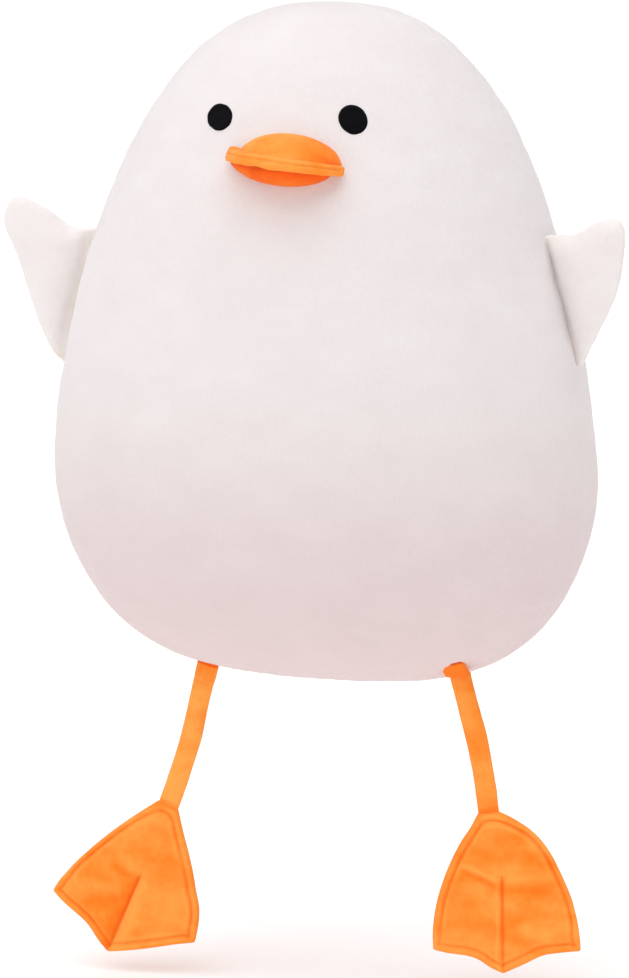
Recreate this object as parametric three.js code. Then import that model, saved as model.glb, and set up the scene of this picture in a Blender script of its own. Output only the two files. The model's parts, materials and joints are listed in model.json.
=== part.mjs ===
// A stuffed duck with dangling legs, about 0.69 m from its crown to its toes.
// The egg-shaped body is a plush cover over fibre filling. Sewn to it are two small wings, a padded
// bill with a lip round its edge, two eye patches, and two thin fabric legs that carry webbed feet.
// Millimetres, +Z up. The duck faces -Y and its own left side is +X. The origin is the centre of
// the flat seat under the body, and the legs hang below it.
import * as THREE from 'three';
import { mergeVertices } from 'three/addons/utils/BufferGeometryUtils.js';

// Plush fabric and the gap that neighbouring pieces keep
const plushThickness = 2;
const limbPlushThickness = 1.5;
const sewnGap = 0.3;

// Body
const bodyHeight = 483;
const bodyHalfWidth = 200;
const sideSeamDegrees = 80; // round from the face to the seam between front and back
const widestHeight = 145;
const undersideDrop = 5; // how far the underside's curve would run below the flat seat
const bellyDepthShare = 0.78;
const crownDepthShare = 0.86;
const crownTaperPower = 1.6;
const crownRoundnessPower = 2.55;
const undersideTaperPower = 1.92;
const undersideRoundnessPower = 3;
const lowerRowCount = 10;
const upperRowCount = 11;
const panelColumnCount = 12; // across a back panel, and half the front one
const normalStepShare = 1e-4; // of the height, between the points that the skin's slope is taken from

// Eyes
const eyeHalfLength = 10.7;
const eyeHalfWidth = 8.9;
const eyeTiltDegrees = 42; // the long axis leans out at its foot
const eyeHeightShare = 0.827; // of the body's height
const eyeSpacing = 98;
const eyeThickness = 1.6;
const eyeEdgeShare = 0.45;
const eyeColumnCount = 24;
const eyeRingShares = [1, 0.9, 0.5, 0];

// Bill
const billHalfWidth = 37;
const billReach = 27;
const upperBillRise = 20;
const lowerBillDrop = 16;
const billHeightShare = 0.764; // of the body's height
const billSide = 5.5; // its middle sits this far to the duck's left
const billRollDegrees = 8; // its left end lower than its right end
const lipWidth = 6.4;
const lipHeight = 9.6;
const lipWaistShare = 0.7; // width at the seam between its two layers, over the width of a layer
const lipEndShare = 0.55;
const billColumnCount = 20;
const billRowCount = 6;
const lipColumnCount = 18;
const lipSectionCount = 12;

// Wings
const wingSpan = 66;
const wingRootRise = 94;
const wingRootHeight = 227;
const wingSweepDegrees = 15; // forward of straight out
const wingLiftShares = { left: -0.23, right: 0.03 }; // rise of the tip per length of span
const wingHalfThickness = 10.5;
const wingEdgeHalf = 1.7;
const wingRootRound = 2.1;
const wingRootRiseShare = 0.6; // half thickness gained per length of span, out from the root
const wingColumnCount = 30; // along its free edge
const wingRootCount = 10;
const wingRingShares = [1, 0.95, 0.8, 0.5, 0];
// From the root's foot, out round the tip and back to the root's head: shares of the span and root
const wingOutlineShares = [
  [0.13, 0.08], [0.32, 0.24], [0.53, 0.44], [0.74, 0.64], [0.93, 0.79], [1, 0.92],
  [0.95, 1.04], [0.8, 1.09], [0.6, 1.06], [0.4, 1.01], [0.2, 0.98],
];
const wingCentreShares = [0.47, 0.68];

// Hips and legs
const hipSpacing = 187;
const hipSide = 12; // both hips sit this far to the duck's left
const hipForward = 35;
const collarRadius = 10;
const collarHalfThickness = 6;
const collarSquarenessPower = 0.7; // squares off the collar's round outline
const collarRowCount = 4;
const collarColumnCount = 16;
const halvingCount = 40; // steps in the search for the skin's height at a hip
const legLength = 93;
const legHalfWidth = 7.7;
const legHalfThickness = 4.6;
const legPinchHalf = 3;
const legPinchLength = 16;
const legBow = 2;
const legLeanDegrees = { left: 12.3, right: 16.5 }; // outward from straight down
const legSectionCount = 9;
const legSideCount = 14;
const legCapCount = 3;

// Feet
const footLength = 117;
const footHalfWidth = 54.5;
const footTurnDegrees = { left: 6, right: 23 }; // outward from straight down
const footFoldDegrees = { left: 3, right: 9 }; // each half folds back from the centre line
const seamAllowance = 6;
const footEdgeHalf = 1.9;
const footStitchHalf = 1.75;
const footHalfThickness = 5.2;
const ankleDrop = footEdgeHalf + sewnGap; // from the leg's end to the line that the foot folds about
// Half of the outline, from the ankle round the toes: shares of the half width and length
const footOutlineShares = [
  [0.15, 0], [0.34, 0.075], [0.52, 0.17], [0.69, 0.29], [0.83, 0.42], [0.93, 0.56],
  [0.985, 0.69], [1, 0.82], [0.76, 0.835], [0.5, 0.868], [0.26, 0.93], [0, 1],
];
const channelStartShare = 0.42;
const footRingShares = [0.84, 0.5, 0]; // of the way from the channel's start to the edge stitching
const footRingSwellShares = [0.72, 1, 0.86];

const fabric = (color, roughness) => new THREE.MeshStandardMaterial({ color, roughness, metalness: 0 });
const whitePlush = fabric(0xf1ebeb, 0.95);
const orangePlush = fabric(0xff9238, 0.9);
const blackPatch = fabric(0x101016, 0.8);
const fibreFilling = fabric(0xf7f6f2, 1);

const degrees = THREE.MathUtils.degToRad;
const quarterTurn = Math.PI / 2;
const sideSeamAngle = degrees(sideSeamDegrees);
const backSeamAngle = Math.PI;
const duck = new THREE.Group();

// A closed body from a grid of outer points and one of inner points, both [row][column]. A row that
// is all one point closes to a tip, and equal inner and outer rows meet in an edge.
function closedBody(outer, inner, wraps) {
  const corners = [];
  const quad = (a, b, c, d) => corners.push(a, b, c, a, c, d);
  const bottom = outer.length - 1;
  const columns = outer[0].length;
  const last = columns - 1;
  for (let column = 0; column < (wraps ? columns : last); column++) {
    const next = (column + 1) % columns;
    for (let row = 0; row < bottom; row++) {
      const below = row + 1;
      quad(outer[row][column], outer[row][next], outer[below][next], outer[below][column]);
      quad(inner[row][column], inner[below][column], inner[below][next], inner[row][next]);
    }
    quad(outer[0][next], outer[0][column], inner[0][column], inner[0][next]);
    quad(outer[bottom][column], outer[bottom][next], inner[bottom][next], inner[bottom][column]);
  }
  for (let row = 0; !wraps && row < bottom; row++) {
    const below = row + 1;
    quad(outer[row][0], outer[below][0], inner[below][0], inner[row][0]);
    quad(outer[below][last], outer[row][last], inner[row][last], inner[below][last]);
  }
  return facingOut(new THREE.BufferGeometry().setFromPoints(corners));
}

// Merges a geometry's shared corners, drops the triangles that collapsed, and turns it to face out.
function facingOut(geometry) {
  const merged = mergeVertices(geometry);
  const position = merged.getAttribute('position');
  const corner = (index) => new THREE.Vector3().fromBufferAttribute(position, index);
  const kept = [];
  let volume = 0;
  for (let i = 0; i < merged.index.count; i += 3) {
    const [a, b, c] = [0, 1, 2].map((k) => merged.index.getX(i + k));
    if (a === b || b === c || c === a) continue;
    kept.push(a, b, c);
    volume += corner(a).dot(corner(b).cross(corner(c)));
  }
  merged.setIndex(volume < 0 ? kept.reverse() : kept);
  merged.computeVertexNormals();
  return merged;
}

function add(parent, name, geometry, material) {
  const mesh = new THREE.Mesh(geometry, material);
  mesh.name = name;
  parent.add(mesh);
}

// Values from one to another in even steps, both ends included.
function evenly(from, to, steps) {
  return Array.from({ length: steps + 1 }, (_, i) => THREE.MathUtils.lerp(from, to, i / steps));
}

// The egg: a wide flat-bottomed curve up to the widest height, then a blunt taper to the crown.
function halfWidthAt(height) {
  if (height >= widestHeight) {
    const rise = Math.min(1, (height - widestHeight) / (bodyHeight - widestHeight));
    return bodyHalfWidth * (1 - rise ** crownTaperPower) ** (1 / crownRoundnessPower);
  }
  const drop = (widestHeight - height) / (widestHeight + undersideDrop);
  return bodyHalfWidth * (1 - drop ** undersideTaperPower) ** (1 / undersideRoundnessPower);
}

// Depth over width of the body's plan outline, which rounds out towards the crown.
function depthShareAt(height) {
  return THREE.MathUtils.lerp(bellyDepthShare, crownDepthShare, height / bodyHeight);
}

function halfDepthAt(height) {
  return halfWidthAt(height) * depthShareAt(height);
}

// A point of the body's skin. The angle is 0 at the face and grows towards the duck's left.
function skinPoint(height, angle) {
  return new THREE.Vector3(
    halfWidthAt(height) * Math.sin(angle), -halfDepthAt(height) * Math.cos(angle), height);
}

function skinNormal(height, angle) {
  const step = normalStepShare * bodyHeight;
  if (height > bodyHeight - step) return new THREE.Vector3(0, 0, 1);
  const low = Math.max(0, height - step);
  const along = skinPoint(height + step, angle).sub(skinPoint(low, angle));
  const around = new THREE.Vector3(
    halfWidthAt(height) * Math.cos(angle), halfDepthAt(height) * Math.sin(angle), 0);
  return around.cross(along).normalize();
}

// Distance from the middle plane forward to the face at a place on it.
function faceDepthAt(x, height) {
  return halfDepthAt(height) * Math.sqrt(Math.max(0, 1 - (x / halfWidthAt(height)) ** 2));
}

// Heights of the rows of a panel, closer together where the body curves in.
function rowHeights() {
  const undersideSpan = widestHeight + undersideDrop;
  const steepest = Math.asin(widestHeight / undersideSpan);
  const heights = [0];
  for (let i = 1; i < lowerRowCount; i++) {
    heights.push(widestHeight - undersideSpan * Math.sin(steepest * (1 - i / lowerRowCount)));
  }
  for (let i = 0; i <= upperRowCount; i++) {
    heights.push(widestHeight + (bodyHeight - widestHeight) * Math.sin(quarterTurn * i / upperRowCount));
  }
  return heights;
}

// Keeps a point half a gap clear of the two seams that bound a panel.
function clearOfSeams(point, height, fromAngle, toAngle) {
  for (const [angle, way] of [[fromAngle, 1], [toAngle, -1]]) {
    const inside = new THREE.Vector3(depthShareAt(height) * Math.cos(angle), Math.sin(angle), 0);
    inside.setLength(way);
    point.addScaledVector(inside, Math.max(0, sewnGap / 2 - point.dot(inside)));
  }
  return point;
}

// One panel of the cover between two angles.
function coverPanel(fromAngle, toAngle, columns) {
  const outer = [];
  const inner = [];
  const angles = evenly(fromAngle, toAngle, columns);
  for (const height of rowHeights()) {
    const place = (angle, depth) => {
      const inward = height === 0 ? new THREE.Vector3(0, 0, 1) : skinNormal(height, angle).negate();
      const point = skinPoint(height, angle).addScaledVector(inward, depth);
      return clearOfSeams(point, height, fromAngle, toAngle);
    };
    outer.push(angles.map((angle) => place(angle, 0)));
    inner.push(angles.map((angle) => place(angle, plushThickness)));
  }
  return closedBody(outer, inner, false);
}

// The filling takes every second row and column of the panels, so that it lies inside their facets.
function bodyFilling() {
  const inset = plushThickness + sewnGap;
  const all = rowHeights();
  const heights = all.filter((height, row) => row % 2 === 0 || row === all.length - 1);
  const angles = [
    ...evenly(-sideSeamAngle, sideSeamAngle, panelColumnCount).slice(0, -1),
    ...evenly(sideSeamAngle, backSeamAngle, panelColumnCount / 2).slice(0, -1),
    ...evenly(-backSeamAngle, -sideSeamAngle, panelColumnCount / 2).slice(0, -1),
  ];
  const rows = heights.map((height) => angles.map((angle) => {
    const point = skinPoint(height, angle).addScaledVector(skinNormal(height, angle), -inset);
    return point.setZ(Math.max(inset, point.z));
  }));
  const core = rows.map((row) => row.map(() => new THREE.Vector3(0, 0, row[0].z)));
  return closedBody(rows, core, true);
}

function makeBody() {
  const front = coverPanel(-sideSeamAngle, sideSeamAngle, 2 * panelColumnCount);
  const backLeft = coverPanel(sideSeamAngle, backSeamAngle, panelColumnCount);
  const backRight = coverPanel(-backSeamAngle, -sideSeamAngle, panelColumnCount);
  add(duck, 'body_front_panel', front, whitePlush);
  add(duck, 'body_back_panel_left', backLeft, whitePlush);
  add(duck, 'body_back_panel_right', backRight, whitePlush);
  add(duck, 'body_filling', bodyFilling(), fibreFilling);

  // The seat: a flat oval inside the lower edge of the three panels
  const oval = new THREE.Shape();
  oval.absellipse(0, 0, halfWidthAt(0) - sewnGap, halfDepthAt(0) - sewnGap, 0, 2 * Math.PI);
  const seat = new THREE.ExtrudeGeometry(oval, {
    depth: plushThickness, bevelEnabled: false, curveSegments: 2 * panelColumnCount,
  });
  add(duck, 'base_panel', seat, whitePlush);
}

// A place on the face, and how far out from the skin it stands.
function onFace(x, height, out) {
  return new THREE.Vector3(x, -faceDepthAt(x, height) - out, height);
}

function makeEye(name, side) {
  const tilt = degrees(side * eyeTiltDegrees);
  const turns = evenly(0, 2 * Math.PI, eyeColumnCount).slice(1);
  const rings = (outAt) => eyeRingShares.map((share) => turns.map((turn) => {
    const along = share * eyeHalfLength * Math.sin(turn);
    const across = share * eyeHalfWidth * Math.cos(turn);
    const x = side * eyeSpacing / 2 + across * Math.cos(tilt) - along * Math.sin(tilt);
    const height = eyeHeightShare * bodyHeight + across * Math.sin(tilt) + along * Math.cos(tilt);
    return onFace(x, height, outAt(share));
  }));
  const dome = (share) => sewnGap + eyeThickness * (share < 1 ? 1 : eyeEdgeShare);
  add(duck, name, closedBody(rings(dome), rings(() => sewnGap), true), blackPatch);
}

// The bill's own axes: across the face, out from the skin, and up, rolled about its middle.
function onBill(across, out, up) {
  const roll = degrees(billRollDegrees);
  const x = billSide + across * Math.cos(roll) + up * Math.sin(roll);
  const height = billHeightShare * bodyHeight - across * Math.sin(roll) + up * Math.cos(roll);
  return onFace(x, height, Math.max(sewnGap, out));
}

// Half of the bill, as a quarter of an egg whose flat back lies on the face.
function billDome(inset, rise, direction) {
  const rounds = evenly(0, Math.PI, billColumnCount);
  return evenly(0, quarterTurn, billRowCount).map((climb) => rounds.map((round) => {
    const across = -(billHalfWidth - inset) * Math.cos(round) * Math.cos(climb);
    const out = (billReach - inset) * Math.sin(round) * Math.cos(climb);
    const up = Math.max(sewnGap / 2, (rise - inset) * Math.sin(climb));
    return onBill(across, out, direction * up);
  }));
}

function makeBill() {
  const skinOf = (rise, direction) => closedBody(
    billDome(0, rise, direction), billDome(limbPlushThickness, rise, direction), false);
  add(duck, 'bill_upper_cover', skinOf(upperBillRise, 1), orangePlush);
  add(duck, 'bill_lower_cover', skinOf(lowerBillDrop, -1), orangePlush);
  add(duck, 'bill_filling', billFilling(), fibreFilling);
  add(duck, 'bill_lip', billLip(), orangePlush);
}

// One filling behind both covers, from the lower dome's foot to the upper dome's top.
function billFilling() {
  const inset = limbPlushThickness + sewnGap;
  const rows = [...billDome(inset, lowerBillDrop, -1).reverse(), ...billDome(inset, upperBillRise, 1)];
  const back = rows.map((line, row) => line.map((point, column) => {
    if (row === 0 || row === rows.length - 1) return point.clone();
    const across = line[0].clone().lerp(line[billColumnCount], column / billColumnCount);
    return onFace(across.x, across.z, sewnGap);
  }));
  return closedBody(rows, back, false);
}

// The lip: both covers' edges folded out together, so its front shows two rounded layers. It runs
// round the domes a gap clear of them, and thins towards its two ends.
function billLip() {
  const offset = sewnGap + lipWidth / 2;
  const rows = [];
  const core = [];
  for (const round of evenly(0, Math.PI, lipColumnCount)) {
    const thin = THREE.MathUtils.lerp(lipEndShare, 1, Math.min(1, 2 * Math.sin(round)));
    const across = -(billHalfWidth + offset) * Math.cos(round);
    const out = (billReach + offset) * Math.sin(round);
    const section = evenly(0, 2 * Math.PI, lipSectionCount).slice(1).map((turn) => {
      const waist = THREE.MathUtils.lerp(lipWaistShare, 1, Math.abs(Math.sin(turn)));
      const outward = lipWidth / 2 * Math.cos(turn) * (Math.cos(turn) > 0 ? waist : 1);
      const up = lipHeight / 2 * thin * Math.sin(turn);
      return onBill(across - outward * Math.cos(round), out + outward * Math.sin(round), up);
    });
    rows.push(section);
    core.push(section.map(() => onBill(across, out, 0)));
  }
  return closedBody(rows, core, true);
}

// Rings of a padded flat piece, from its edge in to one point. Each place on the outline is a
// Vector2, and the lift gives the piece's height above its middle plane at a place on a ring.
function ringsOf(ringPlaces, lift, place) {
  return ringPlaces.map((ring, row) => ring.map((spot, column) => place(spot, lift(spot, row, column))));
}

// A wing's own axes: out along its span, back through its thickness, and up its root, which stands
// along the side seam. The bulge is how far the skin curves out past the straight line of the root.
function placeWing(side) {
  const seam = side * sideSeamAngle;
  const foot = skinPoint(wingRootHeight, seam);
  const head = skinPoint(wingRootHeight + wingRootRise, seam);
  const middle = foot.clone().lerp(head, 1 / 2);
  const bulge = skinPoint(middle.z, seam).distanceTo(middle);
  const up = head.clone().sub(foot).normalize();
  const square = (v) => v.addScaledVector(up, -v.dot(up)).normalize();
  const normal = square(skinNormal(middle.z, seam));
  const sweep = degrees(wingSweepDegrees);
  const across = square(new THREE.Vector3(Math.cos(sweep), -side * Math.sin(sweep), 0));
  const wing = new THREE.Group();
  wing.position.copy(foot).addScaledVector(normal, wingRootRound + sewnGap + bulge);
  wing.quaternion.setFromRotationMatrix(
    new THREE.Matrix4().makeBasis(across, up.clone().cross(across), up));
  duck.add(wing);
  return { wing, bulge, rootLength: foot.distanceTo(head) };
}

// The wing's outline from the root's foot out round the tip and back down the root. The root follows
// the body's curve, so it runs a little further in at its two ends.
function wingOutline(rootLength, bulge, liftShare) {
  const onRoot = (share) => new THREE.Vector2(
    -wingRootRound - bulge * (2 * share - 1) ** 2, share * rootLength);
  const free = new THREE.SplineCurve([
    onRoot(0),
    ...wingOutlineShares.map(([spanShare, rootShare]) => new THREE.Vector2(
      spanShare * wingSpan, rootShare * rootLength + liftShare * spanShare * wingSpan)),
    onRoot(1),
  ]);
  const root = evenly(1, 0, wingRootCount).slice(1, -1);
  return [...free.getSpacedPoints(wingColumnCount), ...root.map(onRoot)];
}

// Half of the wing's thickness at a place: it swells from the edge to the middle, and thins to a
// rounded edge along the root, so that it can fold against the body.
function wingHalfThicknessAt(spot, ringShare) {
  const fullness = Math.sqrt(1 - ringShare ** 2);
  const swell = THREE.MathUtils.lerp(wingEdgeHalf, wingHalfThickness, fullness);
  if (spot.x >= 0) return Math.min(swell, wingRootRound + wingRootRiseShare * spot.x);
  const rounded = Math.sqrt(Math.max(0, wingRootRound ** 2 - spot.x ** 2));
  return Math.min(swell, Math.max(sewnGap, rounded));
}

function makeWing(name, side, liftShare) {
  const { wing, bulge, rootLength } = placeWing(side);
  const outline = wingOutline(rootLength, bulge, liftShare);
  const [spanShare, rootShare] = wingCentreShares;
  const centre = new THREE.Vector2(spanShare * wingSpan, rootShare * rootLength);
  const places = wingRingShares.map((share) => outline.map((spot) => centre.clone().lerp(spot, share)));

  const outerLift = (spot, row) => wingHalfThicknessAt(spot, wingRingShares[row]);
  const innerLift = (spot, row) => Math.max(sewnGap / 2, outerLift(spot, row) - limbPlushThickness);
  const placed = (direction) => (spot, lift) => new THREE.Vector3(side * spot.x, direction * lift, spot.y);
  for (const [face, direction] of [['front', -1], ['back', 1]]) {
    const outer = ringsOf(places, outerLift, placed(direction));
    const inner = ringsOf(places, innerLift, placed(direction));
    add(wing, `${name}_${face}_cover`, closedBody(outer, inner, true), whitePlush);
  }
  const inside = places.slice(1);
  const fillingLift = (spot, row) => Math.max(sewnGap / 3, innerLift(spot, row + 1) - sewnGap);
  const [front, back] = [-1, 1].map((direction) => ringsOf(inside, fillingLift, placed(direction)));
  add(wing, `${name}_filling`, closedBody(front, back, true), fibreFilling);
}

// A section across a leg, as an ellipse of points round the leg's centre line.
function legSection(drop, halfWidth, halfThickness) {
  const centre = legBow * Math.sin(Math.PI * THREE.MathUtils.clamp(drop / legLength, 0, 1));
  return evenly(0, 2 * Math.PI, legSideCount).slice(1).map((turn) => new THREE.Vector3(
    centre + halfWidth * Math.cos(turn), halfThickness * Math.sin(turn), -drop));
}

// Half the leg's thickness: pinched flat where it is sewn in at each end.
function legHalfThicknessAt(drop) {
  const fromEnd = Math.max(0, Math.min(drop, legLength - drop));
  const opened = THREE.MathUtils.smoothstep(fromEnd, collarHalfThickness, legPinchLength);
  return THREE.MathUtils.lerp(legPinchHalf, legHalfThickness, opened);
}

// A fabric tube with a rounded, closed top and an open end at the ankle, and the filling inside it.
function makeLeg(leg, name) {
  const drops = evenly(0, legLength - ankleDrop, legSectionCount);
  const tip = legSection(0, 0, 0);
  const cap = evenly(quarterTurn, 0, legCapCount).slice(1, -1).map((angle) => legSection(
    -legPinchHalf * Math.sin(angle),
    legHalfWidth - legPinchHalf * (1 - Math.cos(angle)),
    legPinchHalf * Math.cos(angle)));
  const inset = (amount) => (drop) => legSection(
    drop, legHalfWidth - amount, legHalfThicknessAt(drop) - amount);
  const outer = [legSection(-legPinchHalf, 0, 0), ...cap, ...drops.map(inset(0))];
  const bore = drops.slice(1).map(inset(limbPlushThickness));
  const inner = [tip, ...cap.map(() => tip), tip, ...bore];
  add(leg, `${name}_cover`, closedBody(outer, inner, true), orangePlush);

  const core = drops.slice(1).map(inset(limbPlushThickness + sewnGap));
  const middle = (ring) => ring[0].clone().lerp(ring[legSideCount / 2], 1 / 2);
  const coreLine = core.map((ring) => ring.map(() => middle(ring)));
  add(leg, `${name}_filling`, closedBody(core, coreLine, true), fibreFilling);
}

// The cuff that the leg hangs from: a small padded cap, rounded about the hip, with a flat underside
// over the leg's top.
function makeCollar(leg, name) {
  const floor = legPinchHalf + sewnGap;
  const start = Math.asin(floor / collarRadius);
  const squared = (value) => Math.sign(value) * Math.abs(value) ** collarSquarenessPower;
  const turns = evenly(0, 2 * Math.PI, collarColumnCount).slice(1);
  const dome = evenly(start, quarterTurn, collarRowCount).map((climb, row) => {
    const shrink = row === collarRowCount ? 0 : Math.cos(climb);
    return turns.map((turn) => new THREE.Vector3(
      collarRadius * squared(Math.cos(turn)) * shrink,
      collarHalfThickness * squared(Math.sin(turn)) * shrink,
      collarRadius * Math.sin(climb)));
  });
  const underside = dome.map((line) => line.map((point) => point.clone().setZ(floor)));
  add(leg, name, closedBody(dome, underside, true), orangePlush);
}

// The foot's outline, down its left edge and back up its right one. The tab at the ankle is square to
// the leg, so that the foot folds about the leg's end.
function footOutline(turnAngle) {
  const half = footOutlineShares.map(([x, y]) => new THREE.Vector2(x * footHalfWidth, y * footLength));
  const [tab, ...webbed] = half;
  const mirrored = webbed.slice(0, -1).reverse().map((spot) => new THREE.Vector2(-spot.x, spot.y));
  const alongLeg = (across, down) => new THREE.Vector2(across, down)
    .rotateAround(new THREE.Vector2(), turnAngle);
  return [
    alongLeg(tab.x, -footEdgeHalf), alongLeg(tab.x, 0), ...webbed,
    ...mirrored, alongLeg(-tab.x, 0), alongLeg(-tab.x, -footEdgeHalf), alongLeg(0, -footEdgeHalf),
  ];
}

// The stitching, one seam allowance inside the edge, measured along lines to the channel's start.
function stitchLineOf(outline, start) {
  return outline.map((spot, i) => {
    const before = outline[(i + outline.length - 1) % outline.length];
    const after = outline[(i + 1) % outline.length];
    const along = after.clone().sub(before).normalize();
    const toStart = start.clone().sub(spot).normalize();
    return spot.clone().addScaledVector(toStart, seamAllowance / along.cross(toStart));
  });
}

// A flat edge as wide as the seam allowance, then padding that swells up to the channel stitched
// down the middle of the foot. Its two halves fold back a little from that channel.
function makeFoot(leg, name, side, turn, fold) {
  const foot = new THREE.Group();
  foot.position.z = -legLength;
  foot.rotation.y = -side * degrees(turn);
  leg.add(foot);

  const outline = footOutline(side * degrees(turn));
  const start = new THREE.Vector2(0, channelStartShare * footLength);
  const stitchLine = stitchLineOf(outline, start);
  const places = [outline, stitchLine,
    ...footRingShares.map((share) => stitchLine.map((spot) => start.clone().lerp(spot, share)))];
  const channel = outline.findIndex((spot) => spot.y === footLength);

  const outerLift = (spot, row, column) => {
    const atLegEnd = column === 0 || column >= outline.length - 2;
    if (row === 0) return atLegEnd ? sewnGap : footEdgeHalf;
    const inChannel = column === channel && row < places.length - 1;
    return row === 1 || inChannel ? footStitchHalf : footHalfThickness * footRingSwellShares[row - 2];
  };
  const innerLift = (spot, row, column) => Math.max(
    sewnGap / 2, outerLift(spot, row, column) - limbPlushThickness);
  const tabHalfWidth = footOutlineShares[0][0] * footHalfWidth;
  const foldedBack = (x) => Math.tan(degrees(fold)) * Math.max(0, Math.abs(x) - tabHalfWidth);
  const placed = (direction) => (spot, lift) => new THREE.Vector3(
    spot.x, direction * lift + foldedBack(spot.x), -spot.y);
  for (const [face, direction] of [['upper', -1], ['sole', 1]]) {
    const outer = ringsOf(places, outerLift, placed(direction));
    const inner = ringsOf(places, innerLift, placed(direction));
    add(foot, `${name}_${face}_cover`, closedBody(outer, inner, true), orangePlush);
  }
  const inside = places.slice(2);
  const paddingLift = (spot, row, column) => Math.max(
    sewnGap / 3, innerLift(spot, row + 2, column) - sewnGap);
  const [upper, sole] = [-1, 1].map((direction) => ringsOf(inside, paddingLift, placed(direction)));
  add(foot, `${name}_padding`, closedBody(upper, sole, true), fibreFilling);
}

// A leg hangs from a pivot under the skin, one collar radius and a gap out along the skin's normal.
function makeLimb(word, side) {
  const x = side * hipSpacing / 2 + hipSide;
  const height = undersideHeightAt(x, hipForward);
  const angle = Math.atan2(x / halfWidthAt(height), hipForward / halfDepthAt(height));
  const leg = new THREE.Group();
  leg.position.copy(skinPoint(height, angle));
  leg.position.addScaledVector(skinNormal(height, angle), collarRadius + sewnGap);
  leg.rotation.y = -side * degrees(legLeanDegrees[word]);
  duck.add(leg);
  makeCollar(leg, `hip_collar_${word}`);
  makeLeg(leg, `leg_${word}`);
  makeFoot(leg, `foot_${word}`, side, footTurnDegrees[word] - legLeanDegrees[word], footFoldDegrees[word]);
}

// Height of the underside's skin at a place below the widest height, found by halving.
function undersideHeightAt(x, forward) {
  let low = 0;
  let high = widestHeight;
  const outside = (height) => (x / halfWidthAt(height)) ** 2 + (forward / halfDepthAt(height)) ** 2 > 1;
  for (let halving = 0; halving < halvingCount; halving++) {
    const height = (low + high) / 2;
    if (outside(height)) low = height;
    else high = height;
  }
  return high;
}

makeBody();
makeBill();
for (const [word, side] of [['left', 1], ['right', -1]]) {
  makeEye(`eye_${word}`, side);
  makeWing(`wing_${word}`, side, wingLiftShares[word]);
  makeLimb(word, side);
}

export default duck;
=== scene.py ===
# A stuffed duck with dangling legs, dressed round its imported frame. Metres, +Z up. The duck faces -Y
# and its own left is +X. Each section below is one piece or one group of like pieces.
import json
import math

import bmesh
import bpy
from mathutils import Matrix, Vector, noise
from mathutils.bvhtree import BVHTree
from mathutils.kdtree import KDTree


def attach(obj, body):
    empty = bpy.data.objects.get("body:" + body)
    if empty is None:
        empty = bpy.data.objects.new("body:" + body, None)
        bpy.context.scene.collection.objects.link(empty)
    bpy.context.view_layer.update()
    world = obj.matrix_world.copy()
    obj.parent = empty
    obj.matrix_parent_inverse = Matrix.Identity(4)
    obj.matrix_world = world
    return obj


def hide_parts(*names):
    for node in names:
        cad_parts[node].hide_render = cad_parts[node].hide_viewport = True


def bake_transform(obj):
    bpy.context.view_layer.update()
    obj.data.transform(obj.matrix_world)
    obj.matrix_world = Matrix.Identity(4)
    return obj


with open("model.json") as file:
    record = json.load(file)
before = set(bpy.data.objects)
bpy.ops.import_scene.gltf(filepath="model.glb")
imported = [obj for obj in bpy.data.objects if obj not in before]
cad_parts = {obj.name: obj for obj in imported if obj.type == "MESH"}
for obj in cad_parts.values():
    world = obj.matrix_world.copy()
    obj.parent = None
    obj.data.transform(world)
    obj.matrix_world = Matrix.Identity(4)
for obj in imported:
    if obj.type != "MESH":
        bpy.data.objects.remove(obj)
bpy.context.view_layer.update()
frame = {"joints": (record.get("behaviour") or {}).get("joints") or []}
joints = {joint["name"]: joint for joint in frame["joints"]}
scene = bpy.context.scene

# The body cover: smooth white short-pile plush, cut as a front panel, two back panels and an oval
# seat, sewn inside out, turned and stuffed hard with fibre. The seams are drawn in by the thread.
BODY_HEIGHT = 0.483
BODY_HALF_WIDTH = 0.200
WIDEST_HEIGHT = 0.145
UNDERSIDE_DROP = 0.005
BELLY_DEPTH, CROWN_DEPTH = 0.78, 0.86
CROWN_TAPER, CROWN_ROUNDNESS = 1.6, 2.55
UNDERSIDE_TAPER, UNDERSIDE_ROUNDNESS = 1.92, 3
SIDE_SEAM = math.radians(80)
BODY_COLUMNS = 144
SEAT_ROWS, LOWER_ROWS, UPPER_ROWS = 10, 40, 54
BODY_ROWS = SEAT_ROWS + LOWER_ROWS + UPPER_ROWS
SEAM_DEPTH, SEAM_REACH = 0.0009, 0.0019
SEAM_DIP, SEAM_DIP_REACH = 0.0003, 0.012
CROWN_FADE = 0.045
SEAM_COLUMNS_REACH, SEAM_COLUMNS_SHARE = math.radians(16), 0.34
SEAM_ROWS_REACH, SEAM_ROWS_SHARE = 5, 0.4
PUCKER, PUCKER_LENGTH, PUCKER_REACH, PUCKER_WANDER = 0.0003, 0.013, 0.006, 2.5
SLACK, SLACK_REACH = 0.0019, 0.03  # the panels are cut smaller, and the filling stretches them to size
LUMP, LUMP_SIZE = 0.0010, 0.075
SMALL_LUMP, SMALL_LUMP_TIMES = 0.3, 2.7
SEWN_SHARE, POLE_HELD = 0.6, 0.02
SETTLE_SHIFT, SETTLE_HEIGHT = 0.0048, 0.195
SETTLE_REACH_UP, SETTLE_REACH_DOWN = 0.17, 0.09
SETTLE_RISE, RISE_PLACE, RISE_REACH = 0.0040, -0.055, 0.08
SETTLE_SAG, SAG_PLACE, SAG_REACH = 0.0050, 0.135, 0.06
SETTLE_TOP, SETTLE_BAND = 0.12, 0.1
WHITE = (0.752, 0.716, 0.719)
BRUSHED_WHITE = (0.782, 0.753, 0.756)
# painted shade: the body's white is multiplied by a darker, pinker tint towards its bottom
LOW_SHADE_TINT, SHADE_TINT_START, SHADE_TINT_FULL = (0.908, 0.818, 0.820), 0.25, 0.050


def ease(value):
    value = min(1.0, max(0.0, value))
    return value * value * (3 - 2 * value)


def bell(offset, reach):
    """One on a line, and gone about two reaches away from it."""
    return math.exp(-((offset / reach) ** 2))


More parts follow.
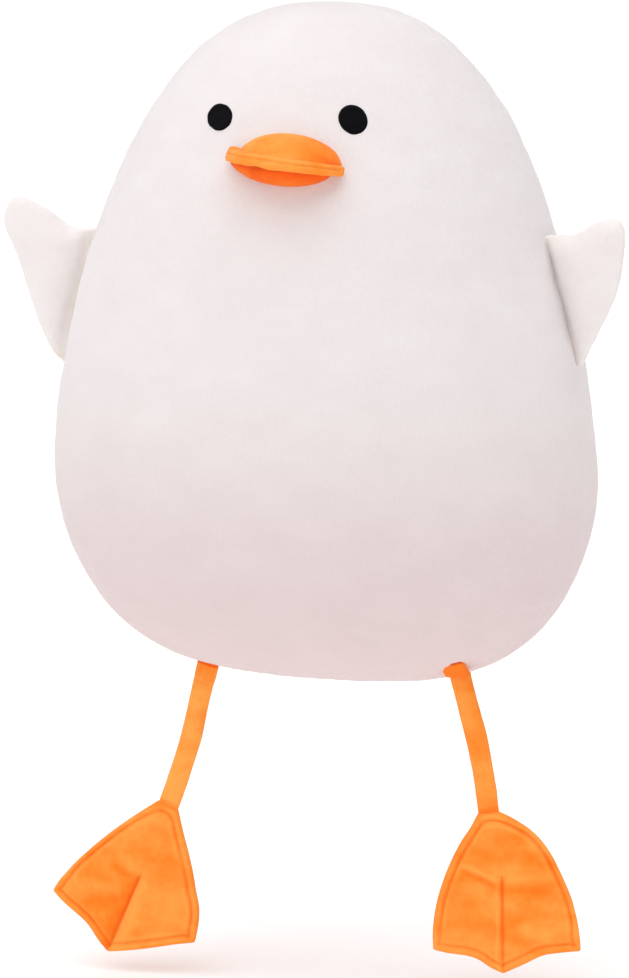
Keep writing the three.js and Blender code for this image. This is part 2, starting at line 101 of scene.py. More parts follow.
def half_width(height):
    if height >= WIDEST_HEIGHT:
        rise = min(1.0, (height - WIDEST_HEIGHT) / (BODY_HEIGHT - WIDEST_HEIGHT))
        return BODY_HALF_WIDTH * (1 - rise**CROWN_TAPER) ** (1 / CROWN_ROUNDNESS)
    drop = (WIDEST_HEIGHT - height) / (WIDEST_HEIGHT + UNDERSIDE_DROP)
    return BODY_HALF_WIDTH * (1 - drop**UNDERSIDE_TAPER) ** (1 / UNDERSIDE_ROUNDNESS)


def half_depth(height):
    share = BELLY_DEPTH + (CROWN_DEPTH - BELLY_DEPTH) * height / BODY_HEIGHT
    return half_width(height) * share


def skin(height, angle):
    return Vector((half_width(height) * math.sin(angle), -half_depth(height) * math.cos(angle), height))


def settled(place):
    """Where a point ends up once the filling has settled: a little to the duck's right round the
    wings, and under the body higher on the right and fuller on the left."""
    above = place.z - SETTLE_HEIGHT
    reach = SETTLE_REACH_UP if above > 0 else SETTLE_REACH_DOWN
    rise = SETTLE_RISE * bell(place.x - RISE_PLACE, RISE_REACH)
    rise -= SETTLE_SAG * bell(place.x - SAG_PLACE, SAG_REACH)
    shift = SETTLE_SHIFT * bell(above, reach)
    return place + Vector((-shift, 0, rise * ease((SETTLE_TOP - place.z) / SETTLE_BAND)))


def from_seam(angle):
    """The signed angle to the nearest of the three upright seams."""
    seams = (-SIDE_SEAM, SIDE_SEAM, math.pi)
    return min([(angle - seam + math.pi) % (2 * math.pi) - math.pi for seam in seams], key=abs)


def drawn_close(gap, reach, share):
    """Moves rows near a seam closer to it, so that its groove has enough of them."""
    return gap * (share + (1 - share) * ease(abs(gap) / reach))


def row_height(row):
    """The height of a row of the cover above the seat."""
    if row <= LOWER_ROWS:
        span = WIDEST_HEIGHT + UNDERSIDE_DROP
        return WIDEST_HEIGHT - span * math.sin(math.asin(WIDEST_HEIGHT / span) * (1 - row / LOWER_ROWS))
    span = BODY_HEIGHT - WIDEST_HEIGHT
    return WIDEST_HEIGHT + span * math.sin(math.pi / 2 * (row - LOWER_ROWS) / UPPER_ROWS)


def as_piece(name, form, finish):
    """Closes a bmesh into a named object at the origin, smooth, with its finish. A sphere's edges and
    faces come in another order each run, so they are sorted, or the filling would lie differently."""
    bmesh.ops.recalc_face_normals(form, faces=form.faces)
    form.verts.index_update()

    def rank(part):
        place = 0
        for index in sorted(corner.index for corner in part.verts)[:3]:
            place = place * len(form.verts) + index
        return place

    form.edges.sort(key=rank)
    form.faces.sort(key=rank)
    mesh = bpy.data.meshes.new(name)
    form.to_mesh(mesh)
    form.free()
    for edge in mesh.edges:
        edge.vertices = sorted(edge.vertices)
    mesh.polygons.foreach_set("use_smooth", [True] * len(mesh.polygons))
    mesh.materials.append(finish)
    piece = bpy.data.objects.new(name, mesh)
    scene.collection.objects.link(piece)
    return piece


def stuff(piece, sewn, pressure, growth, cap):
    """Blows a sewn cover up as its filling does. Where sewn is 1 the thread holds it, and no point
    moves further than the cap."""
    held = piece.vertex_groups.new(name="sewn")
    for corner in piece.data.vertices:
        share = sewn(corner.index, corner.co)
        if share > 0:
            held.add([corner.index], share, "REPLACE")
    cloth = piece.modifiers.new("filling", "CLOTH")
    fabric = cloth.settings
    fabric.quality, fabric.mass = 5, 0.02
    fabric.tension_stiffness = fabric.compression_stiffness = 5
    fabric.shear_stiffness, fabric.bending_stiffness = 2, 0.1
    fabric.use_pressure, fabric.uniform_pressure_force = True, pressure
    fabric.shrink_min = -growth
    fabric.vertex_group_mass = held.name
    fabric.effector_weights.gravity = 0
    for moment in range(1, 21):
        scene.frame_set(moment)
    blown = piece.evaluated_get(bpy.context.evaluated_depsgraph_get()).data.vertices
    moves = [after.co - before.co for before, after in zip(piece.data.vertices, blown)]
    piece.modifiers.remove(cloth)
    piece.vertex_groups.remove(held)
    scene.frame_set(1)
    for corner, move in zip(piece.data.vertices, moves):
        corner.co += move * min(1.0, cap / max(move.length, 1e-9))


def soften(piece, levels=1):
    rounding = piece.modifiers.new("soft fabric", "SUBSURF")
    rounding.levels = rounding.render_levels = levels


def set_inputs(node, values):
    for socket, value in values.items():
        node.inputs[socket].default_value = value


def plush(name, colour, brushed, shaded_hollow, nap, grain, sheen, contrast):
    """Short-pile fabric: a nap that is brushed lighter in places, a grain of fine fibres, and the
    pale bloom that pile has at a glancing angle. A piece may paint its plush through an attribute of
    its points: lighter for its nap and painted light, below none darker to a third colour, painted shade."""
    finish = bpy.data.materials.new(name)
    finish.use_nodes = True
    nodes, links = finish.node_tree.nodes, finish.node_tree.links
    shader = nodes["Principled BSDF"]
    bloom = [min(1.0, 0.35 + 0.65 * part) for part in brushed]
    set_inputs(shader, {
        "Metallic": 0, "Specular IOR Level": 0.15,
        "Sheen Weight": sheen, "Sheen Roughness": 0.45, "Sheen Tint": (*bloom, 1)})
    place = nodes.new("ShaderNodeTexCoord")

    def speckle(scale, detail, stretch=(1, 1, 1)):
        turn = nodes.new("ShaderNodeMapping")
        turn.inputs["Scale"].default_value = stretch
        cloud = nodes.new("ShaderNodeTexNoise")
        set_inputs(cloud, {"Scale": scale, "Detail": detail, "Roughness": 0.55})
        links.new(place.outputs["Object"], turn.inputs["Vector"])
        links.new(turn.outputs["Vector"], cloud.inputs["Vector"])
        return cloud.outputs["Fac"]

    patches = speckle(nap, 3, (1, 1, 1.5))
    streaks = speckle(grain * 0.22, 4, (1, 1, 0.5))
    fibres = speckle(grain, 2, (1, 1, 0.5))
    both = nodes.new("ShaderNodeMath")
    both.operation = "MULTIPLY_ADD"
    both.inputs[1].default_value = 0.2
    links.new(streaks, both.inputs[0])
    links.new(patches, both.inputs[2])
    nap_and_painted_shade = nodes.new("ShaderNodeAttribute")
    nap_and_painted_shade.attribute_name = "nap_and_painted_shade"
    nap_and_shade = nodes.new("ShaderNodeMath")
    links.new(both.outputs[0], nap_and_shade.inputs[0])
    links.new(nap_and_painted_shade.outputs["Fac"], nap_and_shade.inputs[1])
    shades = nodes.new("ShaderNodeValToRGB")
    ramp = shades.color_ramp.elements
    ramp[0].position, ramp[0].color = 0.6 - contrast, (*colour, 1)
    ramp[1].position, ramp[1].color = 0.6 + contrast, (*brushed, 1)
    # the third colour is painted shade, reached where the attribute is below none
    ramp.new(0.3 - contrast).color = (*shaded_hollow, 1)
    links.new(nap_and_shade.outputs[0], shades.inputs["Fac"])
    links.new(shades.outputs["Color"], shader.inputs["Base Color"])
    matt = nodes.new("ShaderNodeMapRange")
    set_inputs(matt, {"To Min": 0.98, "To Max": 0.78})
    links.new(patches, matt.inputs["Value"])
    links.new(matt.outputs["Result"], shader.inputs["Roughness"])
    pile = nodes.new("ShaderNodeBump")
    set_inputs(pile, {"Strength": 0.35, "Distance": 0.0006})
    links.new(fibres, pile.inputs["Height"])
    lay = nodes.new("ShaderNodeBump")
    set_inputs(lay, {"Strength": 0.3, "Distance": 0.0015})
    links.new(streaks, lay.inputs["Height"])
    links.new(pile.outputs["Normal"], lay.inputs["Normal"])
    links.new(lay.outputs["Normal"], shader.inputs["Normal"])
    return finish


white_plush = plush("white plush", WHITE, BRUSHED_WHITE, WHITE, 26, 1500, 0.25, 0.25)
nodes, links = white_plush.node_tree.nodes, white_plush.node_tree.links
shader = nodes["Principled BSDF"]
plain = shader.inputs["Base Color"].links[0].from_socket
place = nodes.new("ShaderNodeTexCoord")
heights = nodes.new("ShaderNodeSeparateXYZ")
lower = nodes.new("ShaderNodeMapRange")
lower.interpolation_type = "SMOOTHSTEP"
set_inputs(lower, {"From Min": SHADE_TINT_START, "From Max": SHADE_TINT_FULL})
# Painted shade: towards the bottom of the body the white is multiplied by a darker, pinker tint.
painted_low_shade = nodes.new("ShaderNodeMix")
painted_low_shade.data_type = "RGBA"
painted_low_shade.blend_type = "MULTIPLY"
factor, under, over = [socket for socket in painted_low_shade.inputs if socket.enabled]
over.default_value = (*LOW_SHADE_TINT, 1)
links.new(place.outputs["Object"], heights.inputs["Vector"])
links.new(heights.outputs["Z"], lower.inputs["Value"])
links.new(lower.outputs["Result"], factor)
links.new(plain, under)
links.new([socket for socket in painted_low_shade.outputs if socket.enabled][0], shader.inputs["Base Color"])

cover = bmesh.new()
bmesh.ops.create_uvsphere(cover, u_segments=BODY_COLUMNS, v_segments=BODY_ROWS, radius=1)
drawn_in, cut_small = {}, {}
for corner in cover.verts:
    x, y, z = corner.co
    row = BODY_ROWS * (1 - math.acos(max(-1, min(1, z))) / math.pi)
    angle = math.atan2(x, -y)
    gap = from_seam(angle)
    angle += drawn_close(gap, SEAM_COLUMNS_REACH, SEAM_COLUMNS_SHARE) - gap
    row = SEAT_ROWS + drawn_close(row - SEAT_ROWS, SEAM_ROWS_REACH, SEAM_ROWS_SHARE)
    if row <= SEAT_ROWS:
        corner.co = skin(0, angle) * (row / SEAT_ROWS)
    else:
        corner.co = skin(row_height(row - SEAT_ROWS), angle)
    round_axis = corner.co.xy.length
    upright = abs(from_seam(angle)) * round_axis if row > SEAT_ROWS else math.inf
    level = (corner.co - skin(0, angle)).length
    beside, along = min((upright, corner.co.z), (level, angle * round_axis))
    depth = SEAM_DEPTH * bell(beside, SEAM_REACH)
    depth += SEAM_DIP * bell(beside, SEAM_DIP_REACH)
    beat = 2 * math.pi * along / PUCKER_LENGTH
    beat += PUCKER_WANDER * noise.noise(Vector((along * 25, beside, 3)))
    depth += PUCKER * math.sin(beat) * math.exp(-beside / PUCKER_REACH) * ease(beside / SEAM_REACH)
    drawn_in[corner.index] = depth * ease(round_axis / CROWN_FADE)
    cut_small[corner.index] = SLACK * ease(beside / SLACK_REACH)
cover.normal_update()
for corner in cover.verts:
    lump = LUMP * noise.noise(corner.co / LUMP_SIZE)
    lump += LUMP * SMALL_LUMP * noise.noise(corner.co / LUMP_SIZE * SMALL_LUMP_TIMES)
    inward = drawn_in[corner.index] + cut_small[corner.index]
    corner.co = settled(corner.co + corner.normal * (lump - inward))
body = as_piece("body_cover", cover, white_plush)
body_depths = list(drawn_in.values())


def body_sewn(index, place):
    """Whether the thread holds a point of the cover: in the seams, and where it closes at the poles."""
    return 1.0 if body_depths[index] > SEWN_SHARE * SEAM_DEPTH or place.xy.length < POLE_HELD else 0.0


stuff(body, body_sewn, pressure=2.5, growth=0.004, cap=0.0022)
soften(body)
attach(body, "body")
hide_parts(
    "body_front_panel", "body_back_panel_left", "body_back_panel_right", "base_panel",
    "body_filling")

# The eyes: two near-black ovals of close satin stitching on a patch, flat on the face, with a raised
# corded edge. They hold no filling.
EYE_HEIGHT = 0.827 * BODY_HEIGHT
EYE_SPACING = 0.098
EYES = {  # half length, half width, tilt in degrees, and how far it was sewn off its mark
    "left": (0.0113, 0.0086, 40, 0.0, -0.0011),
    "right": (0.0105, 0.0092, 66, 0.0013, 0.0007),
}
EYE_THICKNESS, EYE_SUNK = 0.0012, 0.0008
EYE_CORD, CORD_PLACE, CORD_WIDTH = 0.0005, 0.86, 0.09
EYE_RAGGED, RAGGED_SCALE = 0.03, 2.1
THREAD_SCALE = 620
EYE_BLACK = (0.0012, 0.0012, 0.0028)
SIDES = (("left", 1), ("right", -1))

cover_skin = BVHTree.FromPolygons(
    [corner.co for corner in body.data.vertices], [face.vertices[:] for face in body.data.polygons])


def on_face(x, height, out):
    """A point at a place of the face as seen from the front, standing off the stuffed cover."""
    spot = cover_skin.ray_cast(Vector((x, -1, height)), Vector((0, 1, 0)))[0]
    return spot - Vector((0, out, 0))


satin = bpy.data.materials.new("black satin stitch")
satin.use_nodes = True
nodes, links = satin.node_tree.nodes, satin.node_tree.links
shader = nodes["Principled BSDF"]
set_inputs(shader, {"Base Color": (*EYE_BLACK, 1), "Roughness": 0.75, "Specular IOR Level": 0.09})
place = nodes.new("ShaderNodeTexCoord")
threads = nodes.new("ShaderNodeTexWave")
threads.bands_direction = "DIAGONAL"
set_inputs(threads, {"Scale": THREAD_SCALE, "Distortion": 1.2, "Detail Scale": 0.6})
ridges = nodes.new("ShaderNodeBump")
set_inputs(ridges, {"Strength": 0.7, "Distance": 0.0003})
links.new(place.outputs["Object"], threads.inputs["Vector"])
links.new(threads.outputs["Fac"], ridges.inputs["Height"])
links.new(ridges.outputs["Normal"], shader.inputs["Normal"])

for word, side in SIDES:
    half_length, half_across, tilt, aside, higher = EYES[word]
    tilt = math.radians(tilt)
    patch = bmesh.new()
    bmesh.ops.create_uvsphere(patch, u_segments=72, v_segments=40, radius=1)
    for corner in patch.verts:
        x, y, z = corner.co
        reach = math.sqrt(x * x + y * y)
        ragged = 1 + EYE_RAGGED * noise.noise(Vector((RAGGED_SCALE * x, RAGGED_SCALE * y, 5 * side)))
        across, along = x * half_across * ragged, y * half_length * ragged
        cord = EYE_CORD * bell(reach - CORD_PLACE, CORD_WIDTH)
        out = (EYE_THICKNESS * (1 - reach**6) ** 0.5 + cord * (1 - reach**8)) if z > 0 else -EYE_SUNK
        corner.co = on_face(
            side * EYE_SPACING / 2 + aside + across * math.cos(tilt) - along * math.sin(tilt),
            EYE_HEIGHT + higher + across * math.sin(tilt) + along * math.cos(tilt), out)
    eye = as_piece(f"eye_{word}_patch", patch, satin)
    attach(eye, "body")
    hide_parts(f"eye_{word}")

# The bill: an upper and a lower cover of orange velvety plush over one filling, sewn to the face.
# Their edges are sewn together and rolled out as a lip, whose two layers show from the front.
BILL_HALF_WIDTH, BILL_REACH = 0.037, 0.027
UPPER_RISE, LOWER_DROP = 0.020, 0.0168
UPPER_ASIDE, LOWER_ASIDE, LIP_ASIDE = 0.0033, -0.0036, 0.0014
UPPER_WIDTH, LOWER_WIDTH = 1.0, 1.06
BILL_SIDE, BILL_HEIGHT = 0.0055, 0.764 * BODY_HEIGHT
BILL_ROLL = math.radians(8)
BILL_CUT = 0.02
BILL_SEAM_DRAW, BILL_SEAM_REACH = 0.05, 0.1
BILL_GATHER, BILL_GATHER_REACH = 0.02, 0.5
LOWER_SKEW, LOWER_TUCK = 0.03, 0.02
# painted light on the upper cover at the duck's right, painted shade towards the duck's left
UPPER_LIGHT, UPPER_SHADE = 0.10, 0.34
# painted shade on the lower cover just under the lip, towards the duck's right
LOWER_SHADE = 0.5
LIP_HALF_WIDTH, LIP_HALF_HEIGHT = 0.0038, 0.0043
LIP_GROOVE, LIP_GROOVE_HEIGHT, LIP_GROOVE_WIDTH = 0.3, 0.28, 0.13
LIP_GROOVE_START, LIP_GROOVE_FADE = 0.04, 0.08
LIP_FLARE, LIP_FLARE_REACH = 0.28, 0.2
LIP_THINNING, LIP_THINNING_START = 0.12, 0.6
LIP_UNEVEN, LIP_WOBBLE, LIP_WAVE, LIP_UNDER_WAVE = 0.09, 0.0005, 0.0006, 0.16
LIP_START, LIP_SPAN = 0.02, 0.96
LIP_LEAN, LIP_STANDS = 0.08, 0.001
LIP_END = 0.055
LIP_SQUARENESS = 0.66
LIP_OVERHANG, LIP_INSIDE = 0.0004, 0.0040
LIP_SHORTER = 0.0012
LOWER_DOME = 0.8
ORANGE = (0.96, 0.235, 0.018)
BRUSHED_ORANGE = (0.98, 0.385, 0.075)
# painted shade: a darker, redder copy of the orange for the lower cover, also painted into orange hollows
ORANGE_IN_SHADE = (0.87, 0.122, 0.009)
BRUSHED_ORANGE_IN_SHADE = (0.93, 0.200, 0.015)
# a deeper painted shade, painted into the hollows of the shaded orange plush
ORANGE_IN_DEEP_SHADE = (0.66, 0.095, 0.008)

orange_plush = plush("orange plush", ORANGE, BRUSHED_ORANGE, ORANGE_IN_SHADE, 40, 1300, 0.2, 0.24)
# the lower cover's plush: a shaded copy of the orange, painted shade under the lip
orange_plush_in_shade = plush(
    "orange plush in shade under the bill", ORANGE_IN_SHADE, BRUSHED_ORANGE_IN_SHADE, ORANGE_IN_DEEP_SHADE, 40, 1300, 0.12, 0.24)


def paint_nap_and_shade(piece, naps_and_shades):
    """Sets how much lighter each point of a piece is painted, for nap and painted light; below none,
    painted shade.
    """
    marks = piece.data.attributes.new("nap_and_painted_shade", "FLOAT", "POINT")
    marks.data.foreach_set("value", naps_and_shades)


def on_bill(across, out, up):
    x = BILL_SIDE + across * math.cos(BILL_ROLL) + up * math.sin(BILL_ROLL)
    height = BILL_HEIGHT - across * math.sin(BILL_ROLL) + up * math.cos(BILL_ROLL)
    return on_face(x, height, out)


def rounded_end(share):
    """How wide a piece with a round end is, at a share of the rounding's length from that end."""
    return math.sqrt(max(0.0, 1 - (1 - min(1.0, share)) ** 2))


def squared_off(turn, squareness):
    """A place on a ring whose section lies between a circle's and a square's."""
    return [math.copysign(abs(value) ** squareness, value) for value in (math.cos(turn), math.sin(turn))]


for name, rise, reach, aside, width, way, node in (
        ("bill_upper", UPPER_RISE, 1, UPPER_ASIDE, UPPER_WIDTH, 1, "bill_upper_cover"),
        ("bill_lower", LOWER_DROP, LOWER_DOME, LOWER_ASIDE, LOWER_WIDTH, -1, "bill_lower_cover")):
    dome = bmesh.new()
    bmesh.ops.create_uvsphere(dome, u_segments=120, v_segments=72, radius=1)
    for facing in (Vector((0, 1, 0)), Vector((0, 0, -1))):
        everything = dome.verts[:] + dome.edges[:] + dome.faces[:]
        bmesh.ops.bisect_plane(
            dome, geom=everything, plane_co=facing * BILL_CUT, plane_no=facing, clear_outer=True)
    bmesh.ops.holes_fill(dome, edges=[edge for edge in dome.edges if edge.is_boundary], sides=0)
    for corner in dome.verts:
        x, y, z = corner.co
        fullness = 1 - BILL_SEAM_DRAW * bell(z, BILL_SEAM_REACH)
        gather = noise.noise(Vector((7 * x, 2 * y, 4 * z + 9 * way)))
        fullness += BILL_GATHER * gather * math.exp(-max(0.0, z) / BILL_GATHER_REACH)
        out = -y * BILL_REACH * fullness * reach
        if way < 0:
            fullness += LOWER_SKEW * x - LOWER_TUCK
        across = aside + x * BILL_HALF_WIDTH * width * fullness
        corner.co = on_bill(across, out, way * z * rise * fullness)
    shaded = [corner.co.copy() for corner in dome.verts]
    cover = as_piece(name, dome, orange_plush if way > 0 else orange_plush_in_shade)
    if way > 0:
        # painted light on the upper cover at the duck's right, painted shade towards the duck's left
        sides = [(spot.x - BILL_SIDE) / BILL_HALF_WIDTH for spot in shaded]
        paint_nap_and_shade(cover, [UPPER_LIGHT - UPPER_SHADE * ease((aside - 0.05) / 0.7) for aside in sides])
    else:
        # painted shade on the lower cover under the lip, darker towards the duck's right
        level = [(spot.x - BILL_SIDE) * math.tan(BILL_ROLL) + spot.z - BILL_HEIGHT for spot in shaded]
        paint_nap_and_shade(cover, [
            -LOWER_SHADE * ease(1 + (drop + 0.004) / 0.006) * ease(0.75 - (spot.x - BILL_SIDE) / 0.05)
            for spot, drop in zip(shaded, level)])
    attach(cover, "body")
    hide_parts(node)

roll = bmesh.new()
bmesh.ops.create_uvsphere(roll, u_segments=48, v_segments=140, radius=1)
for corner in roll.verts:
    x, y, z = corner.co
    along = math.acos(max(-1, min(1, z))) / math.pi
    turn = math.atan2(y, x)
    closing = rounded_end(along / LIP_END) * rounded_end((1 - along) / LIP_END)
    bend = math.pi * (LIP_START + LIP_SPAN * along)
    outer, upper = squared_off(turn, LIP_SQUARENESS)
    tall = 1.0 + LIP_FLARE * ease((LIP_FLARE_REACH - along) / LIP_FLARE_REACH)
    tall -= LIP_THINNING * ease((along - LIP_THINNING_START) / (1 - LIP_THINNING_START))
    tall += LIP_UNEVEN * noise.noise(Vector((9 * along, 2.7, 0)))
    groove = LIP_GROOVE * bell(upper - LIP_GROOVE_HEIGHT, LIP_GROOVE_WIDTH)
    groove *= ease((min(along, 1 - along) - LIP_GROOVE_START) / LIP_GROOVE_FADE) if outer > 0 else 0
    wobble = LIP_WOBBLE * noise.noise(Vector((14 * along, upper, 1)))
    outward = (LIP_HALF_WIDTH * (outer * (1 - groove) - LIP_LEAN * upper) + wobble) * closing
    outward += LIP_INSIDE * min(0.0, outer) * closing
    upward = LIP_HALF_HEIGHT * closing * tall * upper
    upward += LIP_WAVE * noise.noise(Vector((5.5 * along, 1.3, 0)))
    if upper < 0:
        upward *= 1 + LIP_UNDER_WAVE * noise.noise(Vector((11 * along, 6.1, 0)))
    spread = LIP_HALF_WIDTH + LIP_OVERHANG
    corner.co = on_bill(
        LIP_ASIDE - (BILL_HALF_WIDTH - LIP_SHORTER + spread + outward) * math.cos(bend),
        (BILL_REACH + spread + outward) * math.sin(bend) + LIP_STANDS, upward)
lip = as_piece("bill_lip_roll", roll, orange_plush)
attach(lip, "body")
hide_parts("bill_lip", "bill_filling")

# The wings: a front and a back of the white plush sewn edge to edge, turned, lightly filled, and
# caught in the body's side seam along their roots, a little forward of straight out. The left one
# was sewn on further back at its foot.
WING_ROOTS = {  # how far round the body the root's foot and its head are
    "left": (math.radians(87), math.radians(82.3)), "right": (math.radians(80), math.radians(80))}
ROOT_FOOT, ROOT_HEAD = 0.228, 0.318
ROOT_STANDS = {"left": 0.0008, "right": 0.0040}
WING_SWEEPS = {"left": math.radians(21.4), "right": math.radians(15)}
WING_FULLNESS = 0.0092
WING_ROOT_HALF = 0.0026
WING_ROOT_SPREAD = 0.7
WING_COLUMNS = 144
WING_ROOT_COLUMNS = 34
WING_VOXEL = 0.0021
WING_CAP = 0.004
WING_OUTLINES = {  # out from the root and up along it, from the root's foot round the tip to its head
    "left": (
        (-0.009, -0.0045), (-0.003, -0.0042), (0.0012, -0.0030), (0.0111, 0.0068), (0.0230, 0.0184),
        (0.0383, 0.0337), (0.0474, 0.0454), (0.0554, 0.059), (0.0613, 0.0726), (0.0651, 0.0834),
        (0.0645, 0.0901), (0.0609, 0.0941), (0.0545, 0.0955), (0.0448, 0.0953), (0.0365, 0.0935),
        (0.0279, 0.091), (0.0199, 0.0903), (0.0104, 0.0917), (-0.0001, 0.0928), (-0.009, 0.0935)),
    "right": (
        (-0.009, -0.0050), (-0.003, -0.0045), (0.004, -0.0003), (0.0108, 0.0066), (0.0183, 0.0161),
        (0.0266, 0.0291), (0.0353, 0.0427), (0.0424, 0.0545), (0.0495, 0.0655), (0.0583, 0.0762),
        (0.063, 0.0835), (0.0645, 0.0915), (0.0633, 0.0996), (0.0594, 0.1043), (0.0538, 0.1056),
        (0.0449, 0.104), (0.0357, 0.1019), (0.0263, 0.0982), (0.0185, 0.0944), (0.0131, 0.093),
        (0.0048, 0.0937), (-0.003, 0.0955), (-0.009, 0.0965)),
}
WING_CENTRES = {"left": (0.031, 0.063), "right": (0.031, 0.068)}
WING_TURNS = {  # how far out from the root's foot and head a turn would start and end; nothing turns the wing
    "left": (0.016, 0.003, 0.018), "right": (-0.0076, -0.0076, 0.011)}
WING_EDGE_HELD, WING_ROOT_HELD = 0.0016, 0.002
WING_SEAM, WING_SEAM_REACH, WING_SEAM_FADE = 0.0007, 0.0012, 0.006
WING_PUCKER, WING_PUCKER_BEAT = 0.00022, 0.62
WING_PUCKER_PLACE, WING_PUCKER_REACH = 0.0045, 0.0035
WING_LUMP, WING_LUMP_SIZE, WING_LUMP_START = 0.0007, 0.02, 0.01
WING_WHITE = (0.812, 0.772, 0.762)
WING_BRUSHED = (0.848, 0.815, 0.806)
# painted shade: the wing's root is painted darker and creamier where it meets the body
ROOT_SHADE, ROOT_SHADE_REACH = 0.30, 0.005
ROOT_SHADE_CREAM = (0.800, 0.735, 0.640)

wing_plush = plush("wing plush", WING_WHITE, WING_BRUSHED, ROOT_SHADE_CREAM, 34, 1500, 0.25, 0.2)


def rounded_line(points, count):
    """Evenly spaced places along a smooth line through the points, both ends included."""
    dense = []
    for index in range(len(points) - 1):
        before, start = points[max(0, index - 1)], points[index]
        end, after = points[index + 1], points[min(len(points) - 1, index + 2)]
        for step in range(24):
            t = step / 24
            dense.append(0.5 * (
                2 * start + (end - before) * t + (2 * before - 5 * start + 4 * end - after) * t**2
                + (3 * start - before - 3 * end + after) * t**3))
    dense.append(points[-1])
    lengths = [0.0]
    for first, second in zip(dense, dense[1:]):
        lengths.append(lengths[-1] + (second - first).length)
    places, index = [], 0
    for step in range(count):
        target = lengths[-1] * step / (count - 1)
        while index < len(dense) - 2 and lengths[index + 1] < target:
            index += 1
        share = (target - lengths[index]) / max(1e-9, lengths[index + 1] - lengths[index])
        places.append(dense[index].lerp(dense[index + 1], share))
    return places


def remesh(piece, voxel):
    """Gives a cover an even mesh of small squares."""
    even = piece.modifiers.new("even mesh", "REMESH")
    even.mode = "VOXEL"
    even.voxel_size = voxel
    even.use_smooth_shade = True
    bake(piece)


def bake(piece):
    """Makes what the piece's modifiers do its own mesh."""
    result = bpy.data.meshes.new_from_object(piece.evaluated_get(bpy.context.evaluated_depsgraph_get()))
    piece.modifiers.clear()
    old, piece.data = piece.data, result
    bpy.data.meshes.remove(old)
    result.name = piece.name


def relax(piece, sewn, times):
    """Lets small wrinkles of a stuffed cover go, away from its seams."""
    form = bmesh.new()
    form.from_mesh(piece.data)
    loose = [corner for corner in form.verts if sewn(corner.index, corner.co) == 0]
    for _ in range(times):
        bmesh.ops.smooth_vert(
            form, verts=loose, factor=0.5, use_axis_x=True, use_axis_y=True, use_axis_z=True)
    form.to_mesh(piece.data)
    form.free()


def nearness(places):
    """A search tree over places along a sewn line."""
    tree = KDTree(len(places))
    for index, spot in enumerate(places):
        tree.insert(spot, index)
    tree.balance()
    return tree


for word, side in SIDES:
    root_foot = skin(ROOT_FOOT, side * WING_ROOTS[word][0])
    up = (skin(ROOT_HEAD, side * WING_ROOTS[word][1]) - root_foot).normalized()
    root_foot.x += side * ROOT_STANDS[word]
    outward = Vector((side * math.cos(WING_SWEEPS[word]), -math.sin(WING_SWEEPS[word]), 0))
    outward = (outward - up * outward.dot(up)).normalized()
    forward = Vector((0, -1, 0))
    forward = (forward - up * forward.dot(up) - outward * forward.dot(outward)).normalized()
    free = [Vector((span, 0, rise)) for span, rise in WING_OUTLINES[word]]
    edge = rounded_line(free, WING_COLUMNS - WING_ROOT_COLUMNS + 2)
    edge += rounded_line([edge[-1], edge[0]], WING_ROOT_COLUMNS)[1:-1]
    centre = Vector((WING_CENTRES[word][0], 0, WING_CENTRES[word][1]))

    cushion = bmesh.new()
    bmesh.ops.create_uvsphere(cushion, u_segments=WING_COLUMNS, v_segments=48, radius=1)
    for corner in cushion.verts:
        x, y, z = corner.co
        column = round(math.atan2(y, x) / (2 * math.pi) * WING_COLUMNS) % WING_COLUMNS
        spot = centre.lerp(edge[column], math.sqrt(x * x + y * y))
        room = WING_ROOT_HALF + WING_ROOT_SPREAD * max(0.0, spot.x)
        spot.y = math.copysign(min(WING_FULLNESS * abs(z), room), z)
        corner.co = spot
    wing = as_piece(f"wing_{word}_cushion", cushion, wing_plush)
    remesh(wing, WING_VOXEL)
    sewn_edge = nearness(edge)

    def held(index, spot):
        near = sewn_edge.find(Vector((spot.x, 0, spot.z)))[2]
        return 1.0 if near < WING_EDGE_HELD or spot.x < WING_ROOT_HELD else 0.0

    stuff(wing, held, pressure=4, growth=0.006, cap=WING_CAP)
    relax(wing, held, 6)
    soften(wing)
    bake(wing)
    normals = [corner.normal.copy() for corner in wing.data.vertices]
    for corner, normal in zip(wing.data.vertices, normals):
        spot, index, _ = sewn_edge.find(Vector((corner.co.x, 0, corner.co.z)))
        beside = (corner.co - spot).length
        crease = WING_SEAM * bell(beside, WING_SEAM_REACH)
        crease *= ease((corner.co.x - WING_ROOT_HELD) / WING_SEAM_FADE)
        beat = math.sin(WING_PUCKER_BEAT * index + 3 * noise.noise(Vector((index * 0.11, 0, side))))
        crease += WING_PUCKER * beat * bell(beside - WING_PUCKER_PLACE, WING_PUCKER_REACH)
        lump = WING_LUMP * noise.noise(corner.co / WING_LUMP_SIZE + Vector((0, side, 0)))
        corner.co += normal * (lump * ease(beside / WING_LUMP_START) - crease)
    # painted shade along the root, in the crevice against the body
    paint_nap_and_shade(wing, [
        -ROOT_SHADE * bell(max(0.0, corner.co.x), ROOT_SHADE_REACH)
        for corner in wing.data.vertices])
    place = Matrix.Translation(root_foot) @ Matrix((outward, -forward, up)).transposed().to_4x4()
    wing.data.transform(place)
    if place.determinant() < 0:
        wing.data.flip_normals()
    for corner in wing.data.vertices:
        corner.co = settled(corner.co)
    still_foot, still_head, band = WING_TURNS[word]
    still = settled(root_foot) + outward * still_foot
    aim = (outward + up * (still_foot - still_head) / (ROOT_HEAD - ROOT_FOOT)).normalized()
    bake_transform(wing)
    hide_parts(f"wing_{word}_front_cover", f"wing_{word}_back_cover", f"wing_{word}_filling")

